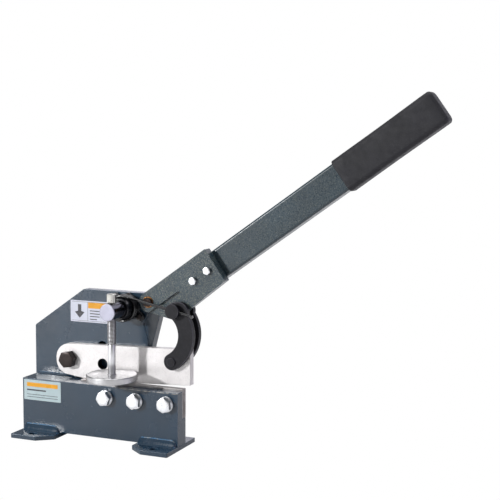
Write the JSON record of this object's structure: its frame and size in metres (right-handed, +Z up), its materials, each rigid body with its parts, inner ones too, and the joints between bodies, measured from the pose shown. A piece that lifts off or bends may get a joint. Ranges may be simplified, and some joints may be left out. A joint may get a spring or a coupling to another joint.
{
  "type": "metal shear",
  "caption": "Hand lever plate shear: welded base, pivoting blade worked by a long lever through curved links, and a screw hold-down foot.",
  "frame": {"origin": "on the bench, midway between the two bench bolt holes of the feet", "axes": "+X along the blades from the blade pivot to the lever, +Y from the operator to the back, +Z up"},
  "size_m": [0.4898, 0.0956, 0.3945],
  "materials": {
    "slate_paint": "gloss",
    "hammered_paint": "fine hammered texture",
    "blade_steel": "ground",
    "zinc_plate": "bright zinc",
    "black_oxide": "black oxide",
    "bronze": "oiled bronze",
    "soft_grip": "matte",
    "black_paint": "gloss",
    "spring_steel": "oiled black",
    "satin_steel": "satin",
    "label_film": "satin film"
  },
  "bodies": {
    "frame": {"front_plate": "slate_paint", "side_plate": "slate_paint", "pivot_spacer_block": "slate_paint", "lower_spacer_bar": "slate_paint", "left_foot": "slate_paint", "right_foot": "slate_paint", "front_weld_beads": "slate_paint", "rear_weld_beads": "slate_paint", "side_plate_weld_bead": "slate_paint", "lower_blade": "blade_steel", "lower_blade_bolts": "zinc_plate", "lower_blade_washers": "zinc_plate", "blade_pivot_bolt": "black_oxide", "blade_pivot_washer": "black_oxide", "blade_pivot_nut": "black_oxide", "lever_pivot_bolt": "black_oxide", "lever_pivot_washer": "black_oxide", "lever_pivot_nut": "black_oxide", "holddown_bracket": "black_paint", "bracket_screws": "black_oxide", "bar_set_screw": "black_oxide", "return_spring_coil": "spring_steel", "base_label": "label_film", "safety_label": "label_film"},
    "blade": {"upper_blade": "blade_steel", "blade_pivot_bush": "bronze"},
    "lever": {"lever_plate": "hammered_paint", "lever_tube": "hammered_paint", "grip": "soft_grip", "lever_bolts": "zinc_plate", "lever_bolt_washers": "zinc_plate", "lever_bolt_nuts": "zinc_plate", "lever_pivot_bush": "bronze"},
    "links": {"front_link": "black_oxide", "rear_link": "black_oxide", "lower_link_pin": "black_oxide"},
    "upper_pin": {"upper_link_pin": "black_oxide", "upper_pin_clip": "black_oxide"},
    "spring_arm": {"return_spring_arm": "spring_steel"},
    "cross_bar": {"cross_bar": "satin_steel"},
    "disc": {"holddown_disc": "satin_steel", "disc_retaining_ring": "satin_steel"},
    "rod": {"holddown_rod": "satin_steel", "rod_knob": "satin_steel"}
  },
  "joints": [
    {"name": "lever_swing", "type": "hinge", "parent": "frame", "child": "lever", "pos_m": [0.0545, 0.0387, 0.1618], "axis": [0, -1, 0], "range_deg": [-15, 50], "stiffness_Nm_per_rad": 1.5, "springref_deg": 49.85},
    {"name": "blade_swing", "type": "hinge", "parent": "frame", "child": "blade", "pos_m": [-0.0502, 0.0402, 0.0882], "axis": [0, -1, 0], "range_deg": [-3.8, 12.6]},
    {"name": "link_swing", "type": "hinge", "parent": "lever", "child": "links", "pos_m": [0.0885, 0.0402, 0.1545], "axis": [0, -1, 0], "range_deg": [-51.5, 15.5]},
    {"name": "upper_pin_turn", "type": "hinge", "parent": "lever", "child": "upper_pin", "pos_m": [0.0885, 0.0402, 0.1545], "axis": [0, -1, 0], "range_deg": [-23.6, 7.1]},
    {"name": "spring_arm_swing", "type": "hinge", "parent": "frame", "child": "spring_arm", "pos_m": [0.0235, 0.0273, 0.153], "axis": [0, -1, 0], "range_deg": [-8, 26.5]},
    {"name": "cross_bar_slide", "type": "slide", "parent": "frame", "child": "cross_bar", "axis": [0, 1, 0], "range_m": [-0.012, 0]},
    {"name": "rod_turn", "type": "hinge", "parent": "disc", "child": "rod", "pos_m": [0.0235, 0.005, 0.079], "axis": [0, 0, 1], "range_deg": [0, 4804]},
    {"name": "disc_slide", "type": "slide", "parent": "cross_bar", "child": "disc", "axis": [0, 0, 1], "range_m": [0, 0.02]}
  ],
  "couplings": [
    {"joint": "blade_swing", "follows": "lever_swing", "ratio": 0.2518},
    {"joint": "link_swing", "follows": "lever_swing", "ratio": -1.0276},
    {"joint": "upper_pin_turn", "follows": "lever_swing", "ratio": -0.4717},
    {"joint": "spring_arm_swing", "follows": "lever_swing", "ratio": 0.5283},
    {"joint": "rod_turn", "follows": "disc_slide", "rad_per_m": 4188.8}
  ]
}
